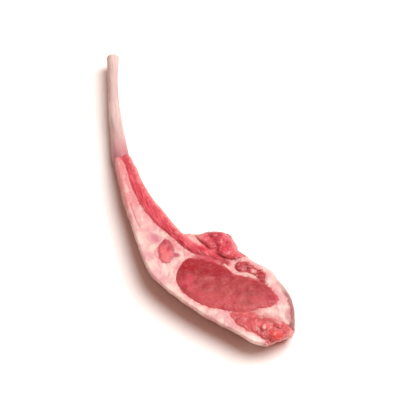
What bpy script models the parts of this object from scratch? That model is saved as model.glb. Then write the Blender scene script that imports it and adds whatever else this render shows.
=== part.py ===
"""One raw Frenched lamb rib chop on its cut face: the bare rib, and the slab of meat with its fat cover.

Metres, +Z up. The chop stands on z = 0 with the rib along -X, and its underside is flat there. The lists of
sizes below are in millimetres. The near edge (-Y) is the outer, convex fat edge of the chop and the far edge
(+Y) its hollow inner side. The slab is thinner at its loin end, and its cut is oblique: its muscles and walls
lean, so that the near edge overhangs its foot.
"""

import math

import bmesh
import bpy
import numpy as np
from mathutils import Vector, noise

MM = 0.001
GAP = 0.3  # clearance between neighbouring pieces
CUTTER_HEIGHT = 40.0
CUTTER_MIDDLE = 10.0

# The slab's outline: pairs of facing points, near edge then far edge, from the rib to the loin end.
EDGE_PAIRS = (
    ((-61.9, -16.6), (-61.1, -8.4)),
    ((-53.7, -18.2), (-52.1, -8.7)),
    ((-45.5, -20.0), (-43.0, -8.8)),
    ((-36.3, -21.5), (-34.3, -8.1)),
    ((-27.2, -23.0), (-25.9, -6.4)),
    ((-18.9, -24.3), (-16.9, -4.7)),
    ((-15.6, -24.8), (-10.8, -2.8)),
    ((-12.8, -25.1), (-8.2, 1.8)),
    ((-10.0, -25.4), (-6.5, 7.9)),
    ((-7.5, -25.6), (-5.0, 13.0)),
    ((-3.9, -25.9), (-2.3, 15.8)),
    ((1.4, -26.0), (2.4, 17.0)),
    ((6.2, -25.4), (7.1, 16.7)),
    ((11.1, -23.8), (12.5, 19.0)),
    ((17.4, -21.1), (17.9, 22.5)),
    ((24.7, -17.5), (22.9, 26.2)),
    ((31.4, -13.7), (28.9, 27.8)),
    ((37.7, -9.6), (34.9, 28.8)),
    ((43.2, -5.8), (40.9, 29.6)),
    ((48.6, -1.8), (47.2, 28.4)),
    ((53.6, 1.2), (51.8, 27.0)),
    ((57.9, 4.4), (56.2, 24.8)),
    ((60.8, 8.4), (59.9, 22.2)),
)
SECTIONS_PER_PAIR = 3

# How thick the slab is along x, without the relief of its pieces.
THICKNESS_AT = (
    (-62.0, 11.2), (-56.0, 12.2), (-38.0, 13.4), (-10.0, 14.5), (14.0, 15.0), (42.0, 14.6), (50.0, 14.4),
    (54.5, 13.8), (58.0, 12.9), (60.4, 11.6),
)

TOP_POINTS = 22  # points of a section across the top face
UNDER_POINTS = 10  # and across the underside
TOP_CROWDING = 0.35  # how much closer the top points lie near the edges than at even spacing
NEAR_TOP_ROUND = 1.5
FAR_TOP_ROUND = 2.3
FAR_FOOT_ROUND = 1.8
RIM_SHARE = 0.5  # the fat edge falls in below this share of the thickness
UNDERCUT_SLOPE = 0.5  # how far it falls in, as a share of that height
UNDERCUT_MOST = 0.2  # and at most, as a share of the slab's width
NEAR_WALL = ((0.12, 0.8), (0.32, 0.52), (0.58, 0.22), (0.8, 0.06), (1.0, 0.0))  # height, share of undercut
FAR_WALL = (0.75, 0.5, 0.25, 0.0)  # heights between the top rounding and the foot rounding
FAR_BULGE = 0.7
END_ROUND = ((0.93, 0.7), (0.8, 1.1))  # share of the end section kept, and how far it stands out

# The oblique cut: how far the slab is shifted in the plan for each millimetre below the level of its top. It
# isn't shifted where it holds the rib, before LEAN_FROM, and in full past LEAN_FULL.
LEAN = (-0.45, 0.22)
LEAN_LEVEL = 15.0
LEAN_FROM = -48.0
LEAN_FULL = 0.0

# Cut muscles in the plan, each a closed smooth outline. Those at the far edge run past it, and one that
# runs into another ends at it.
EYE = (
    (11.5, -15.5), (6.4, -11.9), (3.3, -6.3), (5.7, -1.1), (10.2, 4.5), (14.5, 8.1), (19.8, 10.8),
    (23.0, 15.0), (26.7, 18.7), (30.8, 22.2), (36.0, 23.8), (40.5, 23.9), (42.9, 19.7), (41.8, 14.1),
    (41.7, 9.3), (39.6, 3.4), (35.9, -2.1), (32.5, -6.9), (28.6, -10.6), (24.4, -13.5), (20.0, -15.2),
    (15.9, -16.1),
)
RIB_STRIP = (
    (-66.0, -13.2), (-59.0, -12.9), (-51.7, -14.1), (-44.3, -14.9), (-36.6, -15.2), (-28.6, -14.6),
    (-20.0, -12.4), (-11.3, -8.9), (-4.4, -6.2), (0.6, -3.6), (4.2, 0.0), (6.9, 3.2), (9.3, 6.2),
    (11.3, 9.2), (11.2, 11.0), (9.0, 9.4), (6.2, 7.1), (2.8, 5.0), (-1.4, 3.4), (-5.4, 2.2), (-10.0, 1.4),
    (-18.0, -0.4), (-42.0, -3.4), (-66.0, -5.0),
)
KNOB = (
    (-12.5, -1.0), (-7.0, -3.0), (0.0, 0.8), (5.0, 4.4), (8.0, 7.0), (10.4, 9.6), (12.0, 12.6),
    (12.4, 16.6), (11.0, 21.5), (1.3, 23.5), (-9.1, 19.2), (-12.5, 8.6),
)
BACK_MEAT = (
    (16.4, 11.9), (14.4, 14.2), (14.6, 17.4), (16.8, 19.6), (19.6, 20.7), (21.8, 23.0), (24.8, 24.2),
    (27.4, 23.0), (27.0, 20.8), (24.2, 19.4), (21.6, 17.2), (19.6, 13.4),
)
END_MEAT = (
    (39.4, 0.2), (45.0, 1.2), (49.2, 3.0), (52.2, 5.4), (55.2, 8.0), (58.6, 9.6), (63.0, 11.2),
    (68.0, 13.0), (69.5, 21.0), (65.0, 27.0), (57.5, 23.8), (53.4, 21.7), (49.4, 17.9), (46.2, 14.0),
    (43.8, 11.2), (41.2, 9.2), (39.0, 4.6),
)
SMALL_MEAT_CENTRE = (-4.3, -14.2)
SMALL_MEAT_HALF = (6.7, 3.8)
SMALL_MEAT_TURN = math.radians(-22.0)
ENDS_AT = {"knob_meat": ("rib_strip",), "end_muscle": ("eye_muscle",)}

# Relief of the top face: how far each muscle swells above its own seam, and the height of its bumps.
SWELL = {
    "eye_muscle": (0.9, 0.25), "small_muscle": (0.4, 0.2), "rib_strip": (0.7, 0.35),
    "knob_meat": (0.2, 0.6), "back_meat": (0.3, 0.5), "end_muscle": (0.5, 0.5),
}
SWELL_WIDTH = 4.0
BUMP_SIZE = 4.2
FAT_BUMPS = 0.35
FAT_BUMP_SIZE = 9.0
WALL_BUMPS = 0.5
TORN_WALL_BUMPS = 1.1
WALL_BUMP_SIZE = 5.5

# Lobes of torn meat that stand up on the top face: x, y, radius and height.
LOBES = {
    "knob_meat": (
        (-4.6, 5.1, 3.6, 1.4), (-5.4, 10.4, 3.3, 1.8), (-3.4, 13.8, 3.0, 1.8), (-0.4, 7.4, 3.6, 1.3),
        (0.0, 11.4, 3.8, 2.0), (6.2, 12.2, 4.6, 2.4), (2.8, 15.0, 3.4, 1.5), (10.8, 14.8, 2.8, 1.1),
    ),
    "back_meat": ((17.0, 15.2, 2.8, 1.1), (20.4, 18.6, 2.2, 0.9), (24.8, 22.0, 2.6, 1.2)),
    "end_muscle": (
        (52.4, 12.4, 2.4, 1.2), (58.2, 15.8, 4.2, 1.4), (56.2, 11.4, 2.6, 0.8), (54.0, 19.2, 2.8, 1.0),
        (48.4, 8.4, 3.4, 0.5), (61.6, 19.6, 2.6, 0.8), (57.6, 21.4, 2.4, 0.8),
    ),
}

# The rib: x, y, z of its middle, width in the plan and height. Its last stretch is seated in the meat.
RIB = (
    (-118.4, 5.2, 7.4, 5.8, 8.2),
    (-114.4, 3.6, 7.4, 5.3, 8.1),
    (-107.9, 1.0, 7.3, 4.6, 8.0),
    (-94.5, -3.9, 7.0, 5.2, 8.4),
    (-87.6, -6.1, 6.9, 5.8, 8.6),
    (-80.6, -8.0, 6.8, 6.3, 8.9),
    (-73.6, -10.0, 6.6, 7.2, 9.2),
    (-67.2, -11.7, 6.4, 7.9, 9.5),
    (-64.3, -12.2, 6.3, 7.4, 9.3),
    (-62.3, -12.5, 6.3, 5.6, 8.4),
    (-58.0, -12.8, 6.3, 4.5, 7.2),
    (-51.1, -13.4, 6.3, 3.9, 6.4),
)
RIB_STEPS = 3
RIB_SIDES = 16
RIB_SQUARENESS = 2.4  # exponent of the section's superellipse
RIB_END_ROUND = ((0.9, 0.35), (0.72, 0.6))

COLOURS = {
    "rib_bone": (0.80, 0.64, 0.55),
    "fat": (0.95, 0.68, 0.60),
    "eye_muscle": (0.52, 0.09, 0.10),
    "small_muscle": (0.80, 0.22, 0.22),
    "rib_strip": (0.78, 0.13, 0.15),
    "knob_meat": (0.72, 0.13, 0.14),
    "back_meat": (0.62, 0.10, 0.11),
    "end_muscle": (0.68, 0.13, 0.12),
}
ROUGHNESS = {"rib_bone": 0.45, "fat": 0.4}
MEAT_ROUGHNESS = 0.32


def through(points, steps, closed=False):
    """Points of the smooth curve through the given ones, with this many steps from each to the next."""
    given = np.asarray(points, float)
    count = len(given)
    found = []
    for i in range(count if closed else count - 1):
        places = [(i + k) % count if closed else min(max(i + k, 0), count - 1) for k in (-1, 0, 1, 2)]
        a, b, c, d = given[places]
        for t in np.arange(steps) / steps:
            cubic = (3 * b - a - 3 * c + d) * t**3
            found.append(0.5 * (2 * b + (c - a) * t + (2 * a - 5 * b + 4 * c - d) * t * t + cubic))
    if not closed:
        found.append(given[-1])
    return np.array(found)


def ellipse(centre, half, turn, count=20):
    """Points of an ellipse, turned by this angle."""
    angles = np.linspace(0, 2 * math.pi, count, endpoint=False)
    along, across = half[0] * np.cos(angles), half[1] * np.sin(angles)
    x = centre[0] + along * math.cos(turn) - across * math.sin(turn)
    y = centre[1] + along * math.sin(turn) + across * math.cos(turn)
    return np.stack([x, y], axis=1)


def anticlockwise(outline):
    following = np.roll(outline, -1, axis=0)
    area = np.sum(outline[:, 0] * following[:, 1] - outline[:, 1] * following[:, 0])
    return outline if area > 0 else outline[::-1]


EDGES = through([(*near, *far) for near, far in EDGE_PAIRS], SECTIONS_PER_PAIR)
NEAR_EDGE = EDGES[:, :2]
FAR_EDGE = EDGES[:, 2:]
OUTLINES = {
    "eye_muscle": anticlockwise(through(EYE, 2, closed=True)),
    "small_muscle": ellipse(SMALL_MEAT_CENTRE, SMALL_MEAT_HALF, SMALL_MEAT_TURN),
    "rib_strip": anticlockwise(through(RIB_STRIP, 2, closed=True)),
    "knob_meat": anticlockwise(through(KNOB, 2, closed=True)),
    "back_meat": anticlockwise(through(BACK_MEAT, 2, closed=True)),
    "end_muscle": anticlockwise(through(END_MEAT, 2, closed=True)),
}


def distance_to(line, x, y):
    """The shortest distance in the plan from a point to a line through these points."""
    side = line[1:] - line[:-1]
    to_point = np.array([x, y]) - line[:-1]
    share = np.clip(np.sum(to_point * side, axis=1) / np.sum(side * side, axis=1), 0, 1)
    return np.min(np.linalg.norm(to_point - share[:, None] * side, axis=1))


def depth_inside(outline, x, y):
    """How far the point lies inside the outline, or below zero outside it."""
    start, end = outline, np.roll(outline, -1, axis=0)
    crosses = (start[:, 1] > y) != (end[:, 1] > y)
    height = np.where(crosses, end[:, 1] - start[:, 1], 1.0)
    left = x < start[:, 0] + (y - start[:, 1]) * (end[:, 0] - start[:, 0]) / height
    distance = distance_to(np.vstack([start, start[:1]]), x, y)
    return distance if np.sum(crosses & left) % 2 else -distance


def bumps(x, y, z, size):
    """Smooth noise between about -1 and 1, with lumps of this size."""
    return noise.noise(Vector((x / size, y / size, z / size)))


def lobe_height(name, x, y):
    """Height of the highest lobe of this muscle over a point, or 0 between them."""
    heights = [0.0]
    for middle_x, middle_y, radius, height in LOBES.get(name, ()):
        near = 1 - ((x - middle_x) ** 2 + (y - middle_y) ** 2) / radius**2
        heights.append(height * math.sqrt(max(near, 0.0)))
    return max(heights)


def depth_in(name, x, y):
    """How far the point lies inside a muscle, which ends at the muscles that it runs into."""
    past = [-depth_inside(OUTLINES[other], x, y) for other in ENDS_AT.get(name, ())]
    return min([depth_inside(OUTLINES[name], x, y), *past])


def relief(x, y):
    """Height of the top face at a point, above the slab's plain thickness."""
    for name in OUTLINES:
        depth = depth_in(name, x, y)
        if depth > 0:
            swell, bump = SWELL[name]
            rise = math.sin(0.5 * math.pi * min(depth / SWELL_WIDTH, 1.0))
            return swell * rise + bump * bumps(x, y, 0.0, BUMP_SIZE) + lobe_height(name, x, y)
    return FAT_BUMPS * bumps(x, y, 0.0, FAT_BUMP_SIZE)


def rounding(distance, radius):
    """How far a quarter-round edge has fallen at this distance from the edge."""
    reach = max(radius - distance, 0.0)
    return radius - math.sqrt(radius * radius - reach * reach)


def wall_bumps(x, y, z):
    """How far a side wall stands out. Torn meat is rougher than the rest."""
    torn = any(depth_inside(OUTLINES[name], x, y) > -1.0 for name in ("knob_meat", "end_muscle"))
    return (TORN_WALL_BUMPS if torn else WALL_BUMPS) * bumps(x, y, z, WALL_BUMP_SIZE)


def outward_normals(line, left):
    """The unit normals in the plan along a line of points, to its left or to its right."""
    ahead = np.gradient(line, axis=0)
    normals = np.stack([-ahead[:, 1], ahead[:, 0]], axis=1) * (1 if left else -1)
    return normals / np.linalg.norm(normals, axis=1)[:, None]


def top_point(point, thickness):
    """A point of the top face, which falls off in a round at the slab's edges."""
    x, y = point
    near_drop = rounding(distance_to(NEAR_EDGE, x, y), NEAR_TOP_ROUND)
    far_drop = rounding(distance_to(FAR_EDGE, x, y), FAR_TOP_ROUND)
    return x, y, thickness + relief(x, y) - near_drop - far_drop


def section(near, far, near_out, far_out, thickness):
    """A closed ring of points, clockwise as seen from the rib: the top, the walls and the underside.

    near and far are the section's ends in the plan, with the outward normals of the edges there.
    """
    width = np.linalg.norm(far - near)
    even = np.linspace(0, 1, TOP_POINTS)
    crowded = 0.5 - 0.5 * np.cos(math.pi * even)
    shares = even + TOP_CROWDING * (crowded - even)
    ring = [top_point(near + (far - near) * share, thickness) for share in shares]
    near_top, far_top = ring[0][2], ring[-1][2]
    for h in FAR_WALL:
        z = FAR_FOOT_ROUND + h * (far_top - FAR_FOOT_ROUND)
        out = FAR_BULGE * math.sin(math.pi * h) + wall_bumps(*far, z)
        ring.append((*(far + far_out * out), z))
    rim = RIM_SHARE * thickness
    undercut = min(UNDERCUT_SLOPE * rim, UNDERCUT_MOST * width)
    inward = (near - far) / width - far_out
    foot_far = far + inward * FAR_FOOT_ROUND / np.linalg.norm(inward)
    foot_near = near - near_out * undercut
    for share in np.linspace(0, 1, UNDER_POINTS):
        ring.append((*(foot_far + (foot_near - foot_far) * share), 0.0))
    for h, share in NEAR_WALL:
        out = wall_bumps(*near, h * rim) - undercut * share
        ring.append((*(near + near_out * out), h * rim))
    middle = 0.5 * (rim + near_top)
    ring.append((*(near + near_out * wall_bumps(*near, middle)), middle))
    return np.array(ring[::-1])


def rounded_ends(rings, first_rounds, last_rounds):
    """The rings with smaller ones added at both ends, so that the loft's ends are rounded."""

    def smaller(ring, neighbour, rounds):
        centre = ring.mean(axis=0)
        out = (centre - neighbour.mean(axis=0)) * (1, 1, 0)
        out /= np.linalg.norm(out)
        return [centre + (ring - centre) * keep + out * push for keep, push in rounds]

    first = smaller(rings[0], rings[1], first_rounds)
    last = smaller(rings[-1], rings[-2], last_rounds)
    return [*first[::-1], *rings, *last]


def loft(name, rings):
    """A closed mesh through rings of equal length, with a fan over each end."""
    size = len(rings[0])
    points = [point for ring in rings for point in ring]
    faces = []
    for start in range(0, size * (len(rings) - 1), size):
        for i in range(size):
            j = (i + 1) % size
            faces.append((start + i, start + j, start + size + j))
            faces.append((start + i, start + size + j, start + size + i))
    last = size * (len(rings) - 1)
    points += [rings[0].mean(axis=0), rings[-1].mean(axis=0)]
    for i in range(size):
        j = (i + 1) % size
        faces.append((j, i, last + size))
        faces.append((last + i, last + j, last + size + 1))
    mesh = bpy.data.meshes.new(name)
    mesh.from_pydata([Vector(p) * MM for p in points], [], faces)
    mesh.validate()
    mesh.shade_smooth()
    return mesh


def leaned(mesh):
    """The mesh, shifted as the oblique cut asks."""
    for vertex in mesh.vertices:
        x, y, z = vertex.co / MM
        share = min(max((x - LEAN_FROM) / (LEAN_FULL - LEAN_FROM), 0.0), 1.0)
        reach = (LEAN_LEVEL - z) * share * share * (3 - 2 * share)
        vertex.co = Vector((x + LEAN[0] * reach, y + LEAN[1] * reach, z)) * MM
    return mesh


def slab_mesh():
    """The whole slab of meat and fat, before it is divided."""
    places, thicknesses = zip(*THICKNESS_AT)
    near_out = outward_normals(NEAR_EDGE, left=False)
    far_out = outward_normals(FAR_EDGE, left=True)
    rings = []
    for ends in zip(NEAR_EDGE, FAR_EDGE, near_out, far_out):
        middle_x = 0.5 * (ends[0][0] + ends[1][0])
        rings.append(section(*ends, float(np.interp(middle_x, places, thicknesses))))
    return leaned(loft("slab", rounded_ends(rings, END_ROUND, END_ROUND)))


def rib_mesh(name, grow=0.0):
    """The rib as a loft of flattened ovals, or its seat's cutter if it is grown."""
    stations = through(RIB, RIB_STEPS)
    rings = []
    for i, (x, y, z, width, height) in enumerate(stations):
        ahead = stations[min(i + 1, len(stations) - 1)] - stations[max(i - 1, 0)]
        side = np.array([-ahead[1], ahead[0]]) / math.hypot(ahead[0], ahead[1])
        ring = []
        for angle in np.linspace(0, 2 * math.pi, RIB_SIDES, endpoint=False):
            c, s = math.cos(angle), math.sin(angle)
            a = math.copysign(abs(c) ** (2 / RIB_SQUARENESS), c) * (width / 2 + grow)
            b = math.copysign(abs(s) ** (2 / RIB_SQUARENESS), s) * (height / 2 + grow)
            ring.append((x + side[0] * a, y + side[1] * a, z + b))
        rings.append(np.array(ring))
    rounds = [(keep, push + grow) for keep, push in RIB_END_ROUND]
    return loft(name, rounded_ends(rings, rounds, rounds))


def prism(name, outline, grow, collection):
    """A cutter with this outline, moved outward by grow, that leans as the slab does and passes through it."""
    ahead = np.roll(outline, -1, axis=0) - np.roll(outline, 1, axis=0)
    normal = np.stack([ahead[:, 1], -ahead[:, 0]], axis=1)
    normal /= np.linalg.norm(normal, axis=1)[:, None]
    grown = outline + normal * grow
    curve = bpy.data.curves.new(name, "CURVE")
    curve.dimensions = "2D"
    curve.fill_mode = "BOTH"
    curve.extrude = CUTTER_HEIGHT / 2 * MM
    spline = curve.splines.new("POLY")
    spline.points.add(len(grown) - 1)
    for point, (x, y) in zip(spline.points, grown):
        point.co = (x * MM, y * MM, 0, 1)
    spline.use_cyclic_u = True
    drawn = bpy.data.objects.new(name + "_outline", curve)
    drawn.location.z = CUTTER_MIDDLE * MM
    collection.objects.link(drawn)
    return meshed(drawn, name, collection)


def meshed(drawn, name, collection):
    """The curve object as a welded, leaning mesh object, with the curve removed."""
    bpy.context.view_layer.update()
    evaluated = drawn.evaluated_get(bpy.context.evaluated_depsgraph_get())
    mesh = bpy.data.meshes.new_from_object(evaluated)
    weld_caps(mesh)
    mesh.transform(drawn.matrix_world)
    solid = bpy.data.objects.new(name, leaned(mesh))
    collection.objects.link(solid)
    bpy.data.objects.remove(drawn)
    return as_cutter(solid)


def weld_caps(mesh):
    """Joins the loose caps of a filled curve to its sides, and triangulates them."""
    work = bmesh.new()
    work.from_mesh(mesh)
    bmesh.ops.remove_doubles(work, verts=work.verts, dist=0.00001)
    bmesh.ops.recalc_face_normals(work, faces=work.faces)
    bmesh.ops.triangulate(work, faces=work.faces)
    work.to_mesh(mesh)
    work.free()


def as_cutter(solid):
    solid.hide_render = True
    solid.display_type = "WIRE"
    return solid


def boolean(target, operation, cutter, solver="EXACT"):
    modifier = target.modifiers.new(f"{operation.lower()} {cutter.name}", "BOOLEAN")
    modifier.operation = operation
    modifier.solver = solver
    modifier.object = cutter


def material(name):
    made = bpy.data.materials.new(name)
    made.use_nodes = True
    shader = made.node_tree.nodes["Principled BSDF"]
    shader.inputs["Base Color"].default_value = (*COLOURS[name], 1)
    shader.inputs["Roughness"].default_value = ROUGHNESS.get(name, MEAT_ROUGHNESS)
    shader.inputs["Metallic"].default_value = 0
    return made


def piece(name, mesh, collection):
    made = bpy.data.objects.new(name, mesh)
    made.data.materials.append(material(name))
    collection.objects.link(made)
    return made


def new_collection(name):
    made = bpy.data.collections.new(name)
    bpy.context.scene.collection.children.link(made)
    return made


def plan_middle(meshes):
    """The middle of the meshes' common box in the plan."""
    corners = [vertex.co for mesh in meshes for vertex in mesh.vertices]
    low_x, high_x = min(c.x for c in corners), max(c.x for c in corners)
    low_y, high_y = min(c.y for c in corners), max(c.y for c in corners)
    return Vector(((low_x + high_x) / 2, (low_y + high_y) / 2, 0))


def main():
    for old in list(bpy.data.objects):
        bpy.data.objects.remove(old)
    chop = new_collection("lamb_chop")
    cutters = new_collection("cutters")

    rib = piece("rib_bone", rib_mesh("rib_bone"), chop)
    seat = as_cutter(bpy.data.objects.new("rib_seat", rib_mesh("rib_seat", GAP)))
    cutters.objects.link(seat)

    slab = slab_mesh()
    fat = piece("fat", slab.copy(), chop)
    # The pockets graze each other at slight angles, where the exact solver leaves open edges in the fat.
    boolean(fat, "DIFFERENCE", seat, "MANIFOLD")
    pockets = {name: prism(name + "_pocket", outline, GAP, cutters) for name, outline in OUTLINES.items()}
    for name, outline in OUTLINES.items():
        muscle = piece(name, slab.copy(), chop)
        if name == "rib_strip":
            boolean(muscle, "DIFFERENCE", seat)
        boolean(muscle, "INTERSECT", prism(name + "_form", outline, 0.0, cutters))
        for other in ENDS_AT.get(name, ()):
            boolean(muscle, "DIFFERENCE", pockets[other])
        boolean(fat, "DIFFERENCE", pockets[name], "MANIFOLD")

    # The lists above have an origin of their own. The chop's is under the middle of its box.
    origin = bpy.data.objects.new("origin", None)
    origin.location = -plan_middle([slab, rib.data])
    chop.objects.link(origin)
    for made in [*chop.objects, *cutters.objects]:
        if made is not origin:
            made.parent = origin


main()
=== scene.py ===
"""The looks of one raw Frenched lamb rib chop: moist meat, fat and bare rib, in soft studio light.

Sizes are in millimetres until a mesh is made, and colours are written as the eye sees them. The chop's
outlines are laid out in a plan of their own: x runs from the rib to the loin end, and y from the fat edge to
the hollow side.
"""

import math

import bmesh
import bpy
import numpy as np
from mathutils import Matrix, Vector, noise


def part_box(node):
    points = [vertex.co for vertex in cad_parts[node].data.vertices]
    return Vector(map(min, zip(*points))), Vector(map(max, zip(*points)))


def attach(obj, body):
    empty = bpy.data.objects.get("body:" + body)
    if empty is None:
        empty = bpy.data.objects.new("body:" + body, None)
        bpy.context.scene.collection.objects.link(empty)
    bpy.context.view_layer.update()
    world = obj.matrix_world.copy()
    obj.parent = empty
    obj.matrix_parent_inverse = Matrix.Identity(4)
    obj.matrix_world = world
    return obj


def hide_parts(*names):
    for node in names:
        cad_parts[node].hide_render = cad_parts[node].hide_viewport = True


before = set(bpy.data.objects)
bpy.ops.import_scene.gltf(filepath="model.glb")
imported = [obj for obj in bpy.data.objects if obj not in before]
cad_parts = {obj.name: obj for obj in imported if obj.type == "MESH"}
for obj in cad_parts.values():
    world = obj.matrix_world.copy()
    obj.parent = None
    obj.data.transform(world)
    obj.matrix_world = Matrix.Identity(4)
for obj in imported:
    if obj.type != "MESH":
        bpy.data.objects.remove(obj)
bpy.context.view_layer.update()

MM = 0.001

# ---- the plan

# The slab's outline: pairs of facing points, near edge then far edge, from the rib to the loin end.
EDGE_PAIRS = (
    ((-61.9, -16.6), (-61.1, -8.4)), ((-53.7, -18.2), (-52.1, -8.7)), ((-45.5, -20.0), (-43.0, -8.8)),
    ((-36.3, -21.5), (-34.3, -8.1)), ((-27.2, -23.0), (-25.9, -6.4)), ((-18.9, -24.3), (-16.9, -4.7)),
    ((-15.6, -24.8), (-10.8, -2.8)), ((-12.8, -25.1), (-8.2, 1.8)), ((-10.0, -25.4), (-6.5, 7.9)),
    ((-7.5, -25.6), (-5.0, 13.0)), ((-3.9, -25.9), (-2.3, 15.8)), ((1.4, -26.0), (2.4, 17.0)),
    ((6.2, -25.4), (7.1, 16.7)), ((11.1, -23.8), (12.5, 19.0)), ((17.4, -21.1), (17.9, 22.5)),
    ((24.7, -17.5), (22.9, 26.2)), ((31.4, -13.7), (28.9, 27.8)), ((37.7, -9.6), (34.9, 28.8)),
    ((43.2, -5.8), (40.9, 29.6)), ((48.6, -1.8), (47.2, 28.4)), ((53.6, 1.2), (51.8, 27.0)),
    ((57.9, 4.4), (56.2, 24.8)), ((60.8, 8.4), (59.9, 22.2)),
)
SECTIONS_PER_PAIR = 17

# Places along x, and how thick the chop is there.
THICKNESS_AT = (
    (-62.0, 11.2), (-56.0, 12.2), (-38.0, 13.4), (-10.0, 14.5), (14.0, 15.0), (42.0, 14.6), (50.0, 14.4),
    (54.5, 13.8), (58.0, 12.9), (60.4, 11.6),
)

# The muscles' outlines.
EYE = (
    (11.5, -15.5), (6.4, -11.9), (3.3, -6.3), (5.7, -1.1), (10.2, 4.5), (14.5, 8.1), (19.8, 10.8),
    (23.0, 15.0), (26.7, 18.7), (30.8, 22.2), (36.0, 23.8), (40.5, 23.9), (42.9, 19.7), (41.8, 14.1),
    (41.7, 9.3), (39.6, 3.4), (35.9, -2.1), (32.5, -6.9), (28.6, -10.6), (24.4, -13.5), (20.0, -15.2),
    (15.9, -16.1),
)
RIB_STRIP = (
    (-66.0, -13.2), (-59.0, -12.9), (-51.7, -14.1), (-44.3, -14.9), (-36.6, -15.2), (-28.6, -14.6),
    (-20.0, -12.4), (-11.3, -8.9), (-4.4, -6.2), (0.6, -3.6), (4.2, 0.0), (6.9, 3.2), (9.3, 6.2),
    (11.3, 9.2), (11.2, 11.0), (9.0, 9.4), (6.2, 7.1), (2.8, 5.0), (-1.4, 3.4), (-5.4, 2.2), (-10.0, 1.4),
    (-18.0, -0.4), (-42.0, -3.4), (-66.0, -5.0),
)
KNOB = (
    (-12.5, -1.0), (-7.0, -3.0), (0.0, 0.8), (5.0, 4.4), (8.0, 7.0), (10.4, 9.6), (12.0, 12.6),
    (12.4, 16.6), (11.0, 21.5), (1.3, 23.5), (-9.1, 19.2), (-12.5, 8.6),
)
BACK_MEAT = (
    (16.4, 11.9), (14.4, 14.2), (14.6, 17.4), (16.8, 19.6), (19.6, 20.7), (21.8, 23.0), (24.8, 24.2),
    (27.4, 23.0), (27.0, 20.8), (24.2, 19.4), (21.6, 17.2), (19.6, 13.4),
)
END_MEAT = (
    (39.4, 0.2), (45.0, 1.2), (49.2, 3.0), (52.2, 5.4), (55.2, 8.0), (58.6, 9.6), (63.0, 11.2),
    (68.0, 13.0), (69.5, 21.0), (65.0, 27.0), (57.5, 23.8), (53.4, 21.7), (49.4, 17.9), (46.2, 14.0),
    (43.8, 11.2), (41.2, 9.2), (39.0, 4.6),
)
DRAWN_OUTLINES = {
    "eye_muscle": EYE, "rib_strip": RIB_STRIP, "knob_meat": KNOB, "back_meat": BACK_MEAT,
    "end_muscle": END_MEAT,
}
OUTLINE_STEPS = 7
# The small muscle is an ellipse.
SMALL_MEAT_CENTRE = (-4.3, -14.2)
SMALL_MEAT_HALF = (6.7, 3.8)
SMALL_MEAT_TURN = math.radians(-22.0)
SMALL_MEAT_POINTS = 90

# Which piece of the scene stands for which node of the frame.
PIECES = {
    "eye_muscle": "eye_meat", "small_muscle": "small_round_meat", "rib_strip": "strip_meat",
    "knob_meat": "knob_lumps", "back_meat": "back_nuggets", "end_muscle": "end_meat",
}
ENDS_AT = {"knob_meat": ("rib_strip",), "end_muscle": ("eye_muscle",)}  # a muscle ends at those it runs into

# How far a knife and the grain make each muscle's edge wander.
EDGE_WOBBLE = {"eye_muscle": 0.3, "small_muscle": 0.4, "rib_strip": 0.3}
TORN_EDGE_WOBBLE = 0.55
REACH = 6.0  # distances in the plan are measured up to here

# ---- the form

# How high each muscle swells in its middle, and how high its bumps are.
SWELL = {
    "eye_muscle": (0.9, 0.25), "small_muscle": (0.4, 0.2), "rib_strip": (0.7, 0.35),
    "knob_meat": (0.2, 0.6), "back_meat": (0.3, 0.5), "end_muscle": (0.5, 0.5),
}
SWELL_WIDTH = 4.0  # a muscle rises over this width along its edge
BUMP_SIZE = 4.2
FAT_BUMPS = 0.35
FAT_BUMP_SIZE = 9.0
# The round lobes of the torn meat: x, y, radius and height.
LOBES = {
    "knob_meat": (
        (-4.6, 5.1, 3.6, 1.4), (-5.4, 10.4, 3.3, 1.8), (-3.4, 13.8, 3.0, 1.8), (-0.4, 7.4, 3.6, 1.3),
        (0.0, 11.4, 3.8, 2.0), (6.2, 12.2, 4.6, 2.4), (2.8, 15.0, 3.4, 1.5), (10.8, 14.8, 2.8, 1.1),
    ),
    "back_meat": ((17.0, 15.2, 2.8, 0.6), (20.4, 18.6, 2.2, 0.4), (24.8, 22.0, 2.6, 0.7)),
    "end_muscle": (
        (52.4, 12.4, 2.4, 1.2), (58.2, 15.8, 4.2, 1.4), (56.2, 11.4, 2.6, 0.8), (54.0, 19.2, 2.8, 1.0),
        (48.4, 8.4, 3.4, 0.5), (61.6, 19.6, 2.6, 0.8), (57.6, 21.4, 2.4, 0.8),
    ),
}
LOBE_STEEPNESS = 0.8  # 0.5 is a half ball, and 1 is gentler at its rim
NEAR_TOP_ROUND = 1.5
FAR_TOP_ROUND = 2.3
FAR_FOOT_ROUND = 1.8
FAR_BULGE = 0.7
RIM_SHARE = 0.5  # the fat edge falls in below this share of the thickness
UNDERCUT_SLOPE = 0.5  # how far it falls in, as a share of its rim's height
UNDERCUT_MOST = 0.2  # and at most, as a share of the slab's width
# Heights, as shares of the rim's height, and shares of the undercut.
NEAR_WALL = ((0.0, 1.0), (0.12, 0.8), (0.32, 0.52), (0.58, 0.22), (0.8, 0.06), (1.0, 0.0))
NEAR_WALL_STEPS = 6
# How the slab's ends round off: shares of the last ring's size, and how far past it each smaller ring lies.
MEAT_END = (
    (0.985, 0.24), (0.96, 0.5), (0.93, 0.7), (0.88, 0.92), (0.8, 1.1), (0.66, 1.17), (0.5, 1.2),
    (0.34, 1.2), (0.18, 1.2), (0.06, 1.2),
)
RIB_END = (
    (0.975, 0.7), (0.945, 1.3), (0.91, 1.9), (0.87, 2.4), (0.82, 2.8), (0.7, 2.9), (0.4, 2.9), (0.1, 2.9),
)

# Points of a ring on each side, and how far those on top crowd towards the edges.
TOP_POINTS = 150
TOP_CROWDING = 0.35
FAR_POINTS = 26
FOOT_POINTS = 7
UNDER_POINTS = 56
ABOVE_RIM_POINTS = 12

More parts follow.
